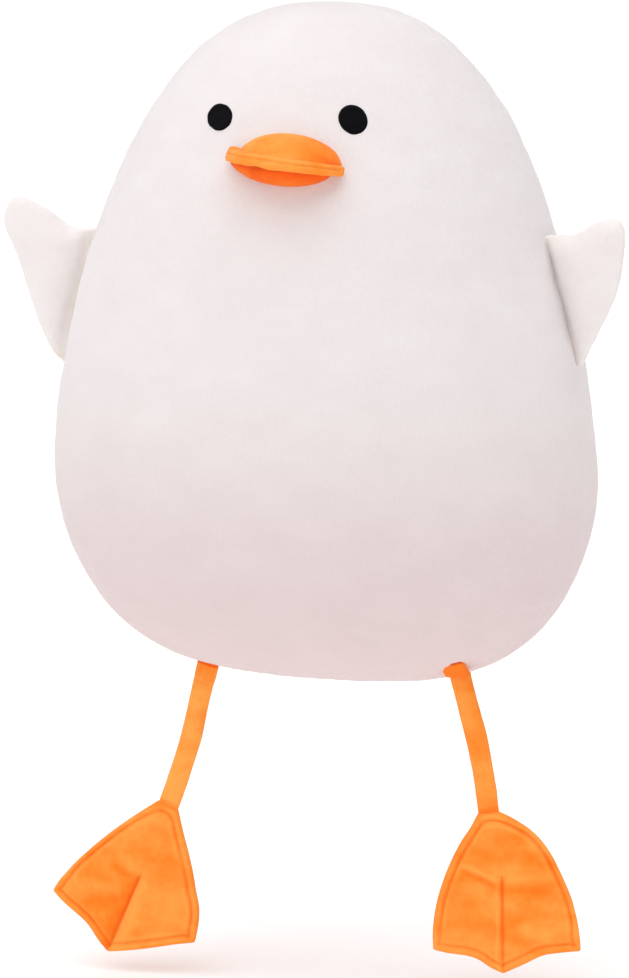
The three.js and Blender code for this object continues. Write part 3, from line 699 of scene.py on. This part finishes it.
# The hip cuffs: the gathered end of each leg's tube, sewn into a slit in the underside. The left
# one stands out in front as a short collar that leans forward; the right one is hidden.
CUFF_TOPS = {"left": 0.0176, "right": 0.0205}
CUFF_HEMS = {"left": -0.0050, "right": 0.0022}
CUFF_LEANS = {"left": 0.0165, "right": 0.0030}
CUFF_HALF_WIDTHS = {"left": 0.0084, "right": 0.0076}
CUFF_WIDENINGS = {"left": 0.0002, "right": 0.0003}
CUFF_ASIDES = {"left": -0.0004, "right": 0.0}
CUFF_HALF_DEPTHS = {"left": 0.0064, "right": 0.0046}
CUFF_SQUARENESS = 0.9
CUFF_HEM_ROUNDING, CUFF_TOP_ROUNDING = 0.0016, 0.002
CUFF_WIDE_AT, CUFF_FLATTER = 0.009, 0.6
CUFF_FOLD, CUFF_FOLDS, CUFF_FOLDED_AT = 0.00035, 9, 0.004
CUFF_CURVE = 1.3
# painted shade: the left cuff's plush is a darker, redder copy of the orange, as it sits under the body
CUFF_ORANGE_IN_SHADE = (0.94, 0.185, 0.013)
CUFF_BRUSHED_IN_SHADE = (0.96, 0.225, 0.017)
GATHER_SHADE, GATHER_START, GATHER_END = 0.6, 0.0138, 0.0150

cuff_plush_in_shade = plush("cuff plush in shade", CUFF_ORANGE_IN_SHADE, CUFF_BRUSHED_IN_SHADE, ORANGE_IN_DEEP_SHADE, 40, 1300, 0.12, 0.24)
leg_frames = {}
for word, side in SIDES:
    hip = Vector(joints[f"hip_{word}_swing"]["pos_m"])
    ankle = Vector(joints[f"ankle_{word}_fold"]["pos_m"])
    down = (ankle - hip).normalized()
    across = Vector(joints[f"ankle_{word}_fold"]["axis"]).normalized()
    back = down.cross(across)
    back = back if back.y > 0 else -back
    sideways = across if across.x > 0 else -across
    leg_frames[word] = (hip, ankle, down, across, back, sideways)

    cuff = bmesh.new()
    bmesh.ops.create_uvsphere(cuff, u_segments=48, v_segments=32, radius=1)
    for corner in cuff.verts:
        x, y, z = corner.co
        turn = math.atan2(y, x)
        hem = CUFF_HEMS[word]
        rise = -hem + (CUFF_TOPS[word] + hem) * (1 - math.acos(max(-1, min(1, z))) / math.pi)
        closing = rounded_end((rise + hem) / CUFF_HEM_ROUNDING)
        closing *= rounded_end((CUFF_TOPS[word] - rise) / CUFF_TOP_ROUNDING)
        wide, deep = squared_off(turn, CUFF_SQUARENESS)
        wider = CUFF_WIDENINGS[word] * ease(rise / CUFF_WIDE_AT)
        fold = CUFF_FOLD * math.sin(CUFF_FOLDS * turn + side) * ease(rise / CUFF_FOLDED_AT)
        lean = Vector((0, -CUFF_LEANS[word] * max(0.0, rise / CUFF_TOPS[word]) ** CUFF_CURVE, 0))
        lean += sideways * CUFF_ASIDES[word]
        corner.co = (
            hip - down * rise + lean + across * wide * (CUFF_HALF_WIDTHS[word] + wider + fold) * closing
            + back * deep * (CUFF_HALF_DEPTHS[word] + CUFF_FLATTER * wider + fold) * closing)
    cuff = as_piece(f"hip_{word}_cuff", cuff, cuff_plush_in_shade if word == "left" else orange_plush)
    rises = [-(corner.co - hip).dot(down) for corner in cuff.data.vertices]
    # painted shade at the top of each cuff, where it goes into the body
    paint_nap_and_shade(cuff, [
        -GATHER_SHADE * ease((rise - GATHER_START) / (GATHER_END - GATHER_START)) for rise in rises])
    soften(cuff)
    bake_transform(cuff)
    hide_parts(f"hip_collar_{word}")

# The legs: narrow flat tubes of the orange plush, turned and lightly filled, that hang limp from
# the cuffs. Each ends pinched flat between the two layers of its foot.
LEG_HALF_WIDTH, LEG_HALF_THICKNESS = 0.0077, 0.0046
LEG_END_HALF, LEG_END_LENGTH = 0.0014, 0.0045
LEG_BOW = 0.0022
LEG_TOPS, LEG_TUCK = {"left": 0.0072, "right": 0.004}, 0.0042
# how much lighter each leg is made all over, darker where below none
LEG_LIGHTNESSES = {"left": -0.02, "right": 0.17}
LEG_TOP_ROUNDING, LEG_END_ROUNDING = 0.0006, 0.001
LEG_SEAM, LEG_SEAM_REACH = 0.0006, 0.22
LEG_WRINKLE, LEG_CREASE, LEG_WRINKLED_AT = 0.0005, 0.00018, 0.012
# painted shade on each leg's side towards the duck's left near its top, and at its end above the foot
LEG_SIDE_SHADE, LEG_SIDE_SHADE_END = 0.16, 0.07
LEG_END_SHADE, LEG_END_SHADE_START, LEG_END_SHADE_BAND = 0.22, 0.004, 0.003
LEG_PATCHES = 0.12

for word, side in SIDES:
    hip, ankle, down, across, back, sideways = leg_frames[word]
    tube = bmesh.new()
    bmesh.ops.create_uvsphere(tube, u_segments=40, v_segments=110, radius=1)
    length, top = (ankle - hip).length, LEG_TOPS[word]
    for corner in tube.verts:
        x, y, z = corner.co
        turn = math.atan2(y, x)
        drop = -top + (length + top + LEG_TUCK) * math.acos(max(-1, min(1, z))) / math.pi
        half = LEG_END_HALF + (LEG_HALF_THICKNESS - LEG_END_HALF) * ease((length - drop) / LEG_END_LENGTH)
        closing = rounded_end((drop + top) / LEG_TOP_ROUNDING)
        closing *= rounded_end((length + LEG_TUCK - drop) / LEG_END_ROUNDING)
        share = min(1.0, max(0.0, drop / length))
        bow = LEG_BOW * math.sin(math.pi * share**1.1)
        slack = LEG_WRINKLE * noise.noise(Vector((drop * 38, turn * 0.5, side * 4)))
        slack += LEG_CREASE * noise.noise(Vector((drop * 120, math.sin(turn), side * 7)))
        slack *= ease((drop + top) / LEG_WRINKLED_AT)
        wide = LEG_HALF_WIDTH + slack
        seam = LEG_SEAM * bell(turn - math.pi / 2, LEG_SEAM_REACH)
        corner.co = (
            hip + down * drop + across * (bow + wide * math.cos(turn) * closing)
            + back * (half + slack - seam) * math.sin(turn) * closing)
    leg = as_piece(f"leg_{word}_tube", tube, orange_plush)
    naps_and_shades = []
    for corner in leg.data.vertices:
        drop, aside = (corner.co - hip).dot(down), (corner.co - hip).dot(sideways)
        nap_and_shade = LEG_LIGHTNESSES[word]
        # painted shade near the top of the leg's side towards the duck's left, and at its end above the
        # foot
        nap_and_shade -= LEG_SIDE_SHADE * ease(aside / LEG_HALF_WIDTH) * ease(1 - drop / LEG_SIDE_SHADE_END)
        nap_and_shade -= LEG_END_SHADE * ease((drop - length + LEG_END_SHADE_START) / LEG_END_SHADE_BAND)
        naps_and_shades.append(nap_and_shade + LEG_PATCHES * noise.noise(Vector((drop * 55, side * 3, 1))))
    paint_nap_and_shade(leg, naps_and_shades)
    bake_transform(leg)
    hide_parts(f"leg_{word}_cover", f"leg_{word}_filling")

# The feet: an upper and a sole of the orange plush with thin padding between, sewn flat 6 mm inside
# the edge all round, with a channel stitched down the middle from the web's tip.
FOOT_TURNS = {"left": math.radians(6), "right": math.radians(23)}
FOOT_FOLDS = {"left": (math.radians(3), math.radians(3)), "right": (math.radians(5), math.radians(13))}
FOOT_TAB = 0.008
SEAM_ALLOWANCE, OUTER_ALLOWANCE = 0.0062, 0.0042
FOOT_EDGE_HALF, FOOT_STITCH_HALF = 0.0023, 0.0011
FOOT_FULLNESS, FOOT_FULL_REACH = 0.0030, 0.009
FOOT_CAP = 0.003
FOOT_DRAW_IN, FOOT_DRAW_REACH = 0.7, 0.0010
FOOT_WAVE, FOOT_WAVE_START = 0.0009, 0.012
CHANNEL_FOLDS = {"left": 0.0006, "right": 0.0050}
CHANNEL_FOLD_REACH = 0.013
CHANNEL_HALF, CHANNEL_DARK_HALF = 0.0012, 0.0010
TURN_COLUMNS, TURN_SMOOTHINGS = 9, 7  # the stitched line is sewn round where a flank starts and ends
LEAST_SLANT = 0.45
LINE_PLACES, CHANNEL_PLACES = 600, 90
PAD_RINGS, EDGE_RINGS, EDGE_SLOPE = 20, 5, 0.5
FLANK_COLUMNS, WEB_COLUMNS, TAB_COLUMNS = 46, 28, 12
FOOT_COLUMNS = 2 * FLANK_COLUMNS + 2 * WEB_COLUMNS + TAB_COLUMNS
FOOT_OUTLINES = {  # across and down, in mm: a flank, the web to its tip, the web back, the other flank
    "left": (
        ((8.1, 0), (17.3, 5.4), (27.2, 12.8), (36.3, 22.9), (43.6, 36.4), (49.8, 52.9), (53.6, 66.1),
         (55.7, 79), (56.7, 93.2), (56.2, 102.9)),
        ((56.2, 102.9), (41, 103.4), (28.7, 104.5), (14.4, 110.1), (-1.5, 115.9)),
        ((-1.5, 115.9), (-10.6, 111), (-17.5, 105.8), (-26.1, 102.2), (-40.8, 99.7), (-51.9, 96.7)),
        ((-51.9, 96.7), (-51.4, 86.7), (-49.3, 75.3), (-45.9, 62.5), (-39.9, 48.4), (-32.5, 34.4),
         (-23.5, 20.5), (-14.9, 10.2), (-8.1, 0))),
    "right": (
        ((8.1, 0), (18.1, 14.1), (27, 26.1), (34.7, 37), (43.5, 50.7), (49.7, 60.8), (53.5, 70.4),
         (56.5, 86)),
        ((56.5, 86), (43.9, 93.6), (28.4, 103.8), (15.2, 112.3), (-1.6, 122.3)),
        ((-1.6, 122.3), (-13.2, 115.6), (-24.0, 110.2), (-35.8, 107.6), (-48.3, 105.2), (-59.8, 101.5)),
        ((-59.8, 101.5), (-58.3, 92.7), (-55.3, 84.2), (-51.1, 73), (-45, 60.2), (-39.6, 49.7),
         (-31, 34.5), (-19, 15.8), (-8.1, 0))),
}
CHANNEL_STARTS = {"left": (5, 48), "right": (-0.4, 60)}
CREASES = {  # from, to, height of the ridge, its half width and the hollow on its lower side, in mm
    "left": (((-24, 36), (3, 50), 1.4, 2.2, 1.0), ((1.5, 52), (-4.5, 108), 1.2, 1.8, 0.0),
             ((8, 48), (40, 50), 0.9, 4.0, 1.0), ((12, 84), (38, 96), 0.9, 4.0, 0.8)),
    "right": (((-4, 57), (-33, 45), 0.7, 4.0, 0.9), ((5, 60), (8, 112), 1.5, 3.5, 0.0),
              ((-10, 75), (-34, 82), 0.8, 5.0, 0.8)),
}
CREASE_HALF_LENGTH, CREASE_END = 0.35, 0.14
# crease ridges are painted lighter and their hollows darker: painted light and shade
CREASE_START, CREASE_LIGHT, HOLLOW_ASIDE = 0.003, 0.17, 2.1
STITCH_HALF_LENGTH, STITCH_HALF_THICKNESS, STITCH_PITCH = 0.00125, 0.00028, 0.0033
STITCH_STANDS = 0.0001
THREAD = (0.90, 0.20, 0.016)
FOOT_ORANGE = (0.96, 0.218, 0.014)
FOOT_BRUSHED = (0.98, 0.358, 0.062)
# the orange painted into the feet's hollows: painted shade
FOOT_ORANGE_IN_SHADE = (0.93, 0.160, 0.010)
# painted highlight along the puffed edge inside the stitches, painted shade on the stitched line
PILLOW_LIGHT, PILLOW_PLACE, PILLOW_REACH = 0.20, 0.0025, 0.0014
SEWN_SHADE, SEWN_SHADE_REACH = 0.34, 0.0008
# the seam allowance: painted light near the stitches, painted shade towards the outer edge
RIM_LIGHT, RIM_LIGHT_START = 0.08, 0.002
RIM_SHADE, RIM_SHADE_START, RIM_SHADE_BAND = 0.10, 0.0032, 0.0012
CHANNEL_SHADES = {  # painted light above none, painted shade below: right and left of the channel, and in it
    "left": (0.10, -0.06, -0.34), "right": (-0.34, 0.30, -0.22)}
CHANNEL_FADES = {"left": (0.005, 0.005), "right": (0.022, 0.012)}  # how far that shade reaches

foot_plush = plush("foot plush", FOOT_ORANGE, FOOT_BRUSHED, FOOT_ORANGE_IN_SHADE, 42, 1300, 0.2, 0.24)

orange_thread = bpy.data.materials.new("orange thread")
orange_thread.use_nodes = True
set_inputs(orange_thread.node_tree.nodes["Principled BSDF"], {
    "Base Color": (*THREAD, 1), "Roughness": 0.55, "Specular IOR Level": 0.35})


def on_foot(across, down):
    """A place in a foot's plane, from its millimetres across and down from the ankle."""
    return Vector((across, 0, -down)) / 1000


def from_line(spot, start, end):
    """How far along a line a place lies, as a share of it, and its offset from the line."""
    run = end - start
    share = (spot - start).dot(run) / run.dot(run)
    return share, spot - (start + run * share)


for word, side in SIDES:
    ankle = Vector(joints[f"ankle_{word}_fold"]["pos_m"])
    turn = FOOT_TURNS[word]
    foot_across = Vector((math.cos(turn), 0, side * math.sin(turn)))
    foot_down = Vector((side * math.sin(turn), 0, -math.cos(turn)))

    columns = (FLANK_COLUMNS + 1, WEB_COLUMNS + 1, WEB_COLUMNS + 1, FLANK_COLUMNS + 1)
    edge = []
    for points, count in zip(FOOT_OUTLINES[word], columns):
        edge += rounded_line([on_foot(*spot) for spot in points], count)[:-1]
    edge += rounded_line([on_foot(*FOOT_OUTLINES[word][3][-1]), edge[0]], TAB_COLUMNS + 1)[:-1]
    tip_column = FLANK_COLUMNS + WEB_COLUMNS
    start = on_foot(*CHANNEL_STARTS[word])
    stitched = []
    flanks_end = 2 * FLANK_COLUMNS + 2 * WEB_COLUMNS
    outer_flank = 0 if side > 0 else flanks_end - FLANK_COLUMNS
    for index, spot in enumerate(edge):
        tangent = (edge[(index + 1) % len(edge)] - edge[index - 1]).normalized()
        to_start = (start - spot).normalized()
        slant = abs(tangent.x * to_start.z - tangent.z * to_start.x)
        narrow = ease(min(index - outer_flank, outer_flank + FLANK_COLUMNS - index) / TURN_COLUMNS)
        allowance = SEAM_ALLOWANCE + (OUTER_ALLOWANCE - SEAM_ALLOWANCE) * narrow
        stitched.append(spot + to_start * allowance / max(LEAST_SLANT, slant))
    turned = range(flanks_end - TURN_COLUMNS, flanks_end + TAB_COLUMNS + TURN_COLUMNS + 1)
    for _ in range(TURN_SMOOTHINGS):
        before = [spot.copy() for spot in stitched]
        for index in turned:
            nexts = before[(index + 1) % FOOT_COLUMNS]
            stitched[index % FOOT_COLUMNS] = (before[(index - 1) % FOOT_COLUMNS] + nexts) / 2
    line = stitched + [stitched[0]]
    round_length = sum((b - a).length for a, b in zip(line, line[1:]))
    channel = [start, stitched[tip_column]]
    line_places = rounded_line(line, LINE_PLACES)
    sewn = nearness(line_places + rounded_line(channel, CHANNEL_PLACES))
    round_line = nearness(line_places)
    round_edge = nearness(rounded_line(edge + [edge[0]], LINE_PLACES))

    pad = bmesh.new()
    rings = PAD_RINGS + EDGE_RINGS
    bmesh.ops.create_uvsphere(pad, u_segments=FOOT_COLUMNS, v_segments=2 * rings, radius=1)
    fixed = []
    for corner in pad.verts:
        x, y, z = corner.co
        column = round(math.atan2(y, x) / (2 * math.pi) * FOOT_COLUMNS) % FOOT_COLUMNS
        ring = 2 * rings * math.acos(min(1.0, abs(z))) / math.pi
        if ring <= PAD_RINGS + 0.01:
            spot = start.lerp(stitched[column], ring / PAD_RINGS)
            near = min(1.0, sewn.find(spot)[2] / FOOT_FULL_REACH)
            lift = FOOT_STITCH_HALF + FOOT_FULLNESS * math.sqrt(1 - (1 - near) ** 2)
        else:
            share = (ring - PAD_RINGS) / EDGE_RINGS
            spot = stitched[column].lerp(edge[column], share)
            lift = FOOT_STITCH_HALF + (FOOT_EDGE_HALF - FOOT_STITCH_HALF) * ease(share / EDGE_SLOPE)
            lift *= math.sqrt(max(0.0, 1 - share**4))
        fixed.append(1.0 if ring > PAD_RINGS - 0.5 or column == tip_column else 0.0)
        corner.co = Vector((spot.x, -math.copysign(lift, z) if abs(z) > 1e-6 else 0, spot.z))
    foot = as_piece(f"foot_{word}_pad", pad, foot_plush)
    stuff(foot, lambda index, spot: fixed[index], pressure=4, growth=0.015, cap=FOOT_CAP)
    relax(foot, lambda index, spot: fixed[index], 4)
    soften(foot)
    bake(foot)

    def laid(spot):
        """A point of the foot as it hangs: a little wavy, and folded back on each side."""
        wave = FOOT_WAVE * noise.noise(Vector((spot.x / 0.021, side * 3, spot.z / 0.014)))
        angle = FOOT_FOLDS[word][0 if spot.x > 0 else 1]
        bend = math.tan(angle) * max(0.0, abs(spot.x) - FOOT_TAB)
        run = channel[1] - start
        share = min(1.1, max(0.0, (spot - start).dot(run) / run.dot(run)))
        off = Vector((spot.x, 0, spot.z)) - (start + run * share)
        bend += CHANNEL_FOLDS[word] * math.exp(-off.length / CHANNEL_FOLD_REACH)
        return spot + Vector((0, wave * ease(-spot.z / FOOT_WAVE_START) + bend, 0))

    naps_and_shades = []
    right_flank_shading, left_flank_shading, groove_shading = CHANNEL_SHADES[word]
    right_fade, left_fade = CHANNEL_FADES[word]
    for corner in foot.data.vertices:
        spot = Vector((corner.co.x, 0, corner.co.z))
        near = sewn.find(spot)[2]
        corner.co.y *= 1 - FOOT_DRAW_IN * bell(near, FOOT_DRAW_REACH)
        stitch, _, inside = round_line.find(spot)
        if round_edge.find(spot)[2] < round_edge.find(stitch)[2]:
            inside = -inside
        patchy = 0.6 + 0.8 * noise.noise(Vector((spot.x / 0.025, side * 5, spot.z / 0.025)))
        # painted highlight on the puffed edge just inside the stitches, painted shade on the stitched
        # line
        nap_and_shade = PILLOW_LIGHT * patchy * bell(inside - PILLOW_PLACE, PILLOW_REACH)
        nap_and_shade -= SEWN_SHADE * patchy * bell(inside, SEWN_SHADE_REACH)
        # painted light on the seam allowance near the stitches, painted shade towards the outer edge
        rim_shade = RIM_SHADE * ease((-inside - RIM_SHADE_START) / RIM_SHADE_BAND)
        nap_and_shade += RIM_LIGHT * ease(-inside / RIM_LIGHT_START) - rim_shade
        share, aside = from_line(spot, *channel)
        off = math.copysign(aside.length, aside.x)
        along = ease(share / 0.12 + 0.5)
        # painted light on one flank of the channel, painted shade on the other and in the channel itself
        nap, fade = (right_flank_shading, right_fade) if off < 0 else (left_flank_shading, left_fade)
        nap_and_shade += nap * ease(abs(off) / CHANNEL_HALF) * math.exp(-abs(off) / fade) * along
        groove = groove_shading * bell(off, CHANNEL_DARK_HALF) * along
        nap_and_shade += groove * ease((inside + 0.005) / 0.003)
        if corner.co.y < 0:
            for first, second, height, half, shaded_hollow in CREASES[word]:
                share, aside = from_line(spot, on_foot(*first), on_foot(*second))
                past_end = max(0.0, abs(share - 0.5) - CREASE_HALF_LENGTH)
                ends = bell(past_end, CREASE_END)
                off = aside.length * math.copysign(1, aside.z) / (half / 1000)
                ridge = height * bell(off, 1) - shaded_hollow * bell(off + HOLLOW_ASIDE, 1)
                corner.co.y -= ridge / 1000 * ends * ease(near / CREASE_START)
                # painted light on the crease's ridge and painted shade in its hollow
                nap_and_shade += CREASE_LIGHT * ridge * ends
        naps_and_shades.append(nap_and_shade)
        corner.co = laid(corner.co)
    paint_nap_and_shade(foot, naps_and_shades)
    hanging = Matrix((foot_across, Vector((0, 1, 0)), -foot_down)).transposed()
    place = Matrix.Translation(ankle) @ hanging.to_4x4()
    foot.data.transform(place)
    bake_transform(foot)
    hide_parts(f"foot_{word}_upper_cover", f"foot_{word}_sole_cover", f"foot_{word}_padding")

    thread = bmesh.new()
    for places in (rounded_line(line, int(round_length / STITCH_PITCH)),
                   rounded_line(channel, int((channel[1] - channel[0]).length / STITCH_PITCH))):
        for first, second in zip(places, places[1:]):
            aim = (second - first).to_track_quat("X", "Y").to_matrix().to_4x4()
            shape = Matrix.Diagonal((STITCH_HALF_LENGTH, STITCH_HALF_THICKNESS, STITCH_HALF_THICKNESS, 1))
            for face in (-1, 1):
                depth = FOOT_STITCH_HALF * (1 - FOOT_DRAW_IN) + STITCH_STANDS
                spot = laid(first.lerp(second, 0.5)) + Vector((0, face * depth, 0))
                placed = Matrix.Translation(spot) @ aim @ shape
                bmesh.ops.create_uvsphere(thread, u_segments=6, v_segments=5, radius=1, matrix=placed)
    stitches = as_piece(f"foot_{word}_stitches", thread, orange_thread)
    stitches.data.transform(place)
    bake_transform(stitches)

# The studio: a plain pale floor under the hanging feet, white surroundings, a broad soft light from
# the ceiling, weaker ones from the front and the sides, and the camera where the photographer stood.
FLOOR_HEIGHT = -0.222
FLOOR_HALF = 40.0
FLOOR_WHITE = (0.93, 0.925, 0.923)
FLOOR_GLOW = 0.15  # the floor is a sheet of frosted white over lights
CAMERA_TARGET = Vector((0, 0, 0.240))
CAMERA_AZIMUTH, CAMERA_ELEVATION = math.radians(17), math.radians(3)
CAMERA_DISTANCE = 3.0
CAMERA_LENS = 153.4
CAMERA_SHIFT = (-0.0153, -0.1524)

ground = bmesh.new()
bmesh.ops.create_grid(ground, x_segments=1, y_segments=1, size=FLOOR_HALF)
bmesh.ops.translate(ground, verts=ground.verts, vec=(0, 0, FLOOR_HEIGHT))
pale = bpy.data.materials.new("pale floor")
pale.use_nodes = True
set_inputs(pale.node_tree.nodes["Principled BSDF"], {
    "Base Color": (*FLOOR_WHITE, 1), "Roughness": 0.9,
    "Emission Color": (1, 1, 1, 1), "Emission Strength": FLOOR_GLOW})
as_piece("floor", ground, pale)

world = bpy.data.worlds.new("white surroundings")
scene.world = world
world.use_nodes = True
nodes, links = world.node_tree.nodes, world.node_tree.links
sky = nodes["Background"]
set_inputs(sky, {"Color": (1.0, 0.955, 0.955, 1), "Strength": 0.52})
seen = nodes.new("ShaderNodeBackground")
set_inputs(seen, {"Color": (1, 1, 1, 1), "Strength": 1.02})
ray = nodes.new("ShaderNodeLightPath")
either = nodes.new("ShaderNodeMixShader")
links.new(ray.outputs["Is Camera Ray"], either.inputs["Fac"])
links.new(sky.outputs["Background"], either.inputs[1])
links.new(seen.outputs["Background"], either.inputs[2])
links.new(either.outputs["Shader"], nodes["World Output"].inputs["Surface"])


def broad_light(name, direction, spread, strength, colour):
    """A light as wide as a studio's ceiling panel, the same all over the floor."""
    lamp = bpy.data.lights.new(name, "SUN")
    lamp.angle, lamp.energy, lamp.color = math.radians(spread), strength, colour
    holder = bpy.data.objects.new(name, lamp)
    holder.location = Vector(direction) * 2
    holder.rotation_euler = Vector(direction).to_track_quat("Z", "Y").to_euler()
    scene.collection.objects.link(holder)


broad_light("ceiling", (-0.03, -0.27, 1.0), 80, 2.0, (1.0, 0.99, 0.985))
broad_light("front", (-0.2, -1.0, 0.6), 35, 0.13, (1.0, 0.98, 0.975))
broad_light("left_wall", (-1.0, -0.3, 0.35), 70, 0.20, (1.0, 0.98, 0.985))
broad_light("right_wall", (1.0, -0.2, 0.35), 70, 0.08, (1.0, 0.98, 0.985))

lens = bpy.data.cameras.new("camera")
lens.lens = CAMERA_LENS
lens.shift_x, lens.shift_y = CAMERA_SHIFT
camera = bpy.data.objects.new("camera", lens)
behind = Vector((
    math.sin(CAMERA_AZIMUTH) * math.cos(CAMERA_ELEVATION),
    -math.cos(CAMERA_AZIMUTH) * math.cos(CAMERA_ELEVATION), math.sin(CAMERA_ELEVATION)))
camera.location = CAMERA_TARGET + behind * CAMERA_DISTANCE
camera.rotation_euler = (-behind).to_track_quat("-Z", "Y").to_euler()
scene.collection.objects.link(camera)
scene.camera = camera
scene.view_settings.view_transform = "Standard"

bpy.context.view_layer.update()
